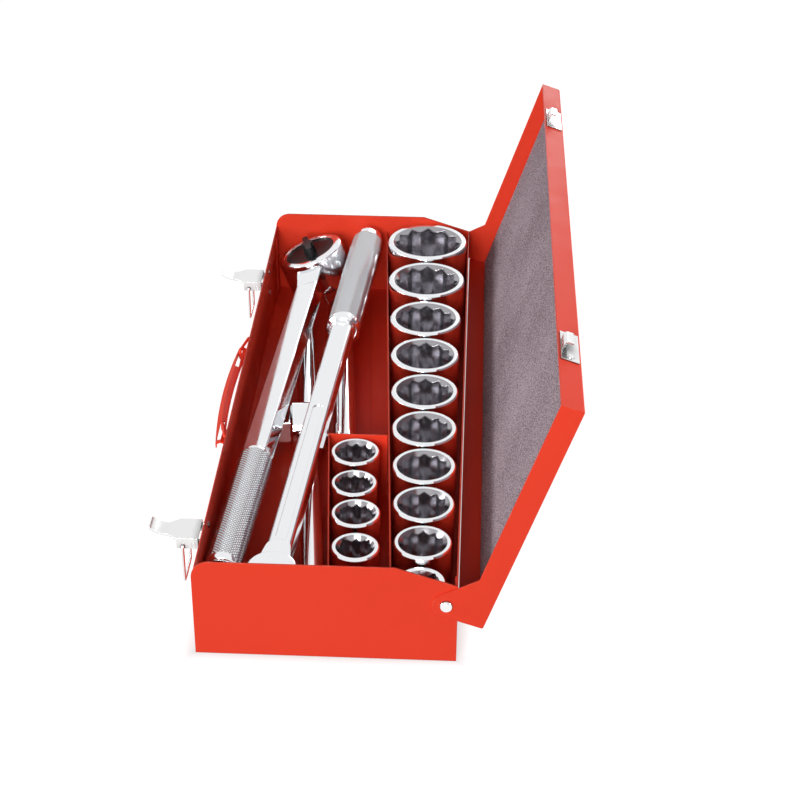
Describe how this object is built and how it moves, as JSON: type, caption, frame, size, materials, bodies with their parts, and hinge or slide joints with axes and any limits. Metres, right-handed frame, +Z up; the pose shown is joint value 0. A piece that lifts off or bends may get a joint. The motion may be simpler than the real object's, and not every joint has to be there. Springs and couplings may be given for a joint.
{
  "type": "socket wrench set in case",
  "caption": "Square-drive socket wrench set in a folded steel case: twelve-point sockets, ratchet, flex bar, sliding T bar and extension behind dividers, foam-lined lid.",
  "frame": {"origin": "centre of the case's underside", "axes": "+X along the case, -Y the front with its latches and handle, +Y the hinge side, +Z up"},
  "size_m": [0.5398, 0.2895, 0.209],
  "materials": {
    "red_paint": "gloss paint on folded sheet",
    "chrome": "polished, grips knurled",
    "plated_steel": "bright plated",
    "black": "satin black",
    "foam": "open-cell foam, speckled"
  },
  "bodies": {
    "case": {"case_tray": "red_paint", "case_end_near": "red_paint", "case_end_far": "red_paint", "long_divider": "red_paint", "short_divider": "red_paint", "hinge_rivets": "plated_steel", "latch_base_near": "plated_steel", "latch_base_far": "plated_steel", "latch_pivots": "plated_steel", "latch_rivets": "plated_steel", "handle_staple_far": "red_paint", "handle_staple_near": "red_paint"},
    "lid": {"lid_shell": "red_paint", "lid_foam": "foam", "keeper_near": "plated_steel", "keeper_far": "plated_steel", "keeper_rivets": "plated_steel"},
    "latch_lever_near": {"latch_lever_near": "plated_steel"},
    "latch_lever_far": {"latch_lever_far": "plated_steel"},
    "latch_loop_near": {"latch_loop_near": "plated_steel"},
    "latch_loop_far": {"latch_loop_far": "plated_steel"},
    "handle": {"handle_strap": "red_paint"},
    "ratchet": {"ratchet_handle": "chrome", "ratchet_cover": "black", "ratchet_ring": "chrome"},
    "ratchet_drive": {"ratchet_drive": "chrome", "ratchet_gear": "plated_steel", "ratchet_ball": "chrome"},
    "ratchet_selector": {"ratchet_selector": "black", "ratchet_pawl": "plated_steel"},
    "flex_bar": {"flex_handle": "chrome", "flex_pin": "chrome"},
    "flex_head": {"flex_head": "chrome", "flex_ball": "chrome"},
    "t_bar": {"t_bar_rod": "chrome"},
    "t_head": {"t_bar_head": "chrome", "t_bar_ball": "chrome"},
    "extension": {"extension_bar": "chrome", "extension_ball": "chrome"},
    "socket_50mm": {"socket_50mm": "chrome"},
    "socket_46mm": {"socket_46mm": "chrome"},
    "socket_41mm": {"socket_41mm": "chrome"},
    "socket_38mm": {"socket_38mm": "chrome"},
    "socket_36mm": {"socket_36mm": "chrome"},
    "socket_34mm": {"socket_34mm": "chrome"},
    "socket_32mm": {"socket_32mm": "chrome"},
    "socket_30mm": {"socket_30mm": "chrome"},
    "socket_27mm": {"socket_27mm": "chrome"},
    "socket_19mm": {"socket_19mm": "chrome"},
    "socket_24mm": {"socket_24mm": "chrome"},
    "socket_22mm": {"socket_22mm": "chrome"},
    "socket_23mm": {"socket_23mm": "chrome"},
    "socket_21mm": {"socket_21mm": "chrome"}
  },
  "joints": [
    {"name": "lid_hinge", "type": "hinge", "parent": "case", "child": "lid", "pos_m": [0, 0.07999, 0.047], "axis": [-1, 0, 0], "range_deg": [-108.8, 0]},
    {"name": "latch_lever_near_hinge", "type": "hinge", "parent": "case", "child": "latch_lever_near", "pos_m": [0.19203, -0.09549, 0.044], "axis": [1, 0, 0], "range_deg": [0, 88]},
    {"name": "latch_loop_near_hinge", "type": "hinge", "parent": "latch_lever_near", "child": "latch_loop_near", "pos_m": [0.19203, -0.10299, 0.043], "axis": [1, 0, 0], "range_deg": [-271.54, 0]},
    {"name": "latch_lever_far_hinge", "type": "hinge", "parent": "case", "child": "latch_lever_far", "pos_m": [-0.19203, -0.09549, 0.044], "axis": [1, 0, 0], "range_deg": [0, 88]},
    {"name": "latch_loop_far_hinge", "type": "hinge", "parent": "latch_lever_far", "child": "latch_loop_far", "pos_m": [-0.19203, -0.10299, 0.043], "axis": [1, 0, 0], "range_deg": [-271.54, 0]},
    {"name": "handle_slide", "type": "slide", "parent": "case", "child": "handle", "axis": [1, 0, 0], "range_m": [-0.021, 0.003]},
    {"name": "flex_bar_lift", "type": "slide", "parent": "case", "child": "flex_bar", "axis": [0, 0, 1], "range_m": [0, 0.36]},
    {"name": "ratchet_lift", "type": "slide", "parent": "case", "child": "ratchet", "axis": [0, 0, 1], "range_m": [0, 0.252]},
    {"name": "t_bar_lift", "type": "slide", "parent": "case", "child": "t_bar", "axis": [0, 0, 1], "range_m": [0, 0.126]},
    {"name": "extension_lift", "type": "slide", "parent": "case", "child": "extension", "axis": [0, 0, 1], "range_m": [0, 0.126]},
    {"name": "flex_head_swing", "type": "hinge", "parent": "flex_bar", "child": "flex_head", "pos_m": [0.24303, -0.03819, 0.041], "axis": [0.033, -0.0023, 0.9995], "range_deg": [0, 90.5]},
    {"name": "t_head_slide", "type": "slide", "parent": "t_bar", "child": "t_head", "axis": [0.9943, 0.1063, 0], "range_m": [0, 0.0648]},
    {"name": "ratchet_drive_spin", "type": "hinge", "parent": "ratchet", "child": "ratchet_drive", "pos_m": [-0.22903, -0.04796, 0.04103], "axis": [-0.019, -0.3574, 0.9338], "continuous": true},
    {"name": "ratchet_selector_turn", "type": "hinge", "parent": "ratchet", "child": "ratchet_selector", "pos_m": [-0.22903, -0.04796, 0.04103], "axis": [-0.019, -0.3574, 0.9338], "range_deg": [-22, 22]},
    {"name": "socket_50mm_lift", "type": "slide", "parent": "case", "child": "socket_50mm", "axis": [0, 0, 1], "range_m": [0, 0.1]},
    {"name": "socket_46mm_lift", "type": "slide", "parent": "case", "child": "socket_46mm", "axis": [0, 0, 1], "range_m": [0, 0.1]},
    {"name": "socket_41mm_lift", "type": "slide", "parent": "case", "child": "socket_41mm", "axis": [0, 0, 1], "range_m": [0, 0.1]},
    {"name": "socket_38mm_lift", "type": "slide", "parent": "case", "child": "socket_38mm", "axis": [0, 0, 1], "range_m": [0, 0.1]},
    {"name": "socket_36mm_lift", "type": "slide", "parent": "case", "child": "socket_36mm", "axis": [0, 0, 1], "range_m": [0, 0.1]},
    {"name": "socket_34mm_lift", "type": "slide", "parent": "case", "child": "socket_34mm", "axis": [0, 0, 1], "range_m": [0, 0.1]},
    {"name": "socket_32mm_lift", "type": "slide", "parent": "case", "child": "socket_32mm", "axis": [0, 0, 1], "range_m": [0, 0.1]},
    {"name": "socket_30mm_lift", "type": "slide", "parent": "case", "child": "socket_30mm", "axis": [0, 0, 1], "range_m": [0, 0.1]},
    {"name": "socket_27mm_lift", "type": "slide", "parent": "case", "child": "socket_27mm", "axis": [0, 0, 1], "range_m": [0, 0.1]},
    {"name": "socket_19mm_lift", "type": "slide", "parent": "case", "child": "socket_19mm", "axis": [0, 0, 1], "range_m": [0, 0.1]},
    {"name": "socket_24mm_lift", "type": "slide", "parent": "case", "child": "socket_24mm", "axis": [0, 0, 1], "range_m": [0, 0.1]},
    {"name": "socket_22mm_lift", "type": "slide", "parent": "case", "child": "socket_22mm", "axis": [0, 0, 1], "range_m": [0, 0.1]},
    {"name": "socket_23mm_lift", "type": "slide", "parent": "case", "child": "socket_23mm", "axis": [0, 0, 1], "range_m": [0, 0.1]},
    {"name": "socket_21mm_lift", "type": "slide", "parent": "case", "child": "socket_21mm", "axis": [0, 0, 1], "range_m": [0, 0.1]}
  ],
  "couplings": [
    {"joint": "ratchet_lift", "follows": "flex_bar_lift", "ratio": 0.7},
    {"joint": "t_bar_lift", "follows": "flex_bar_lift", "ratio": 0.35},
    {"joint": "extension_lift", "follows": "flex_bar_lift", "ratio": 0.35},
    {"joint": "flex_head_swing", "follows": "flex_bar_lift", "rad_per_m": 4.3633},
    {"joint": "t_head_slide", "follows": "flex_bar_lift", "ratio": 0.18},
    {"joint": "latch_loop_near_hinge", "follows": "latch_lever_near_hinge", "ratio": -3.08},
    {"joint": "latch_loop_far_hinge", "follows": "latch_lever_far_hinge", "ratio": -3.08}
  ]
}
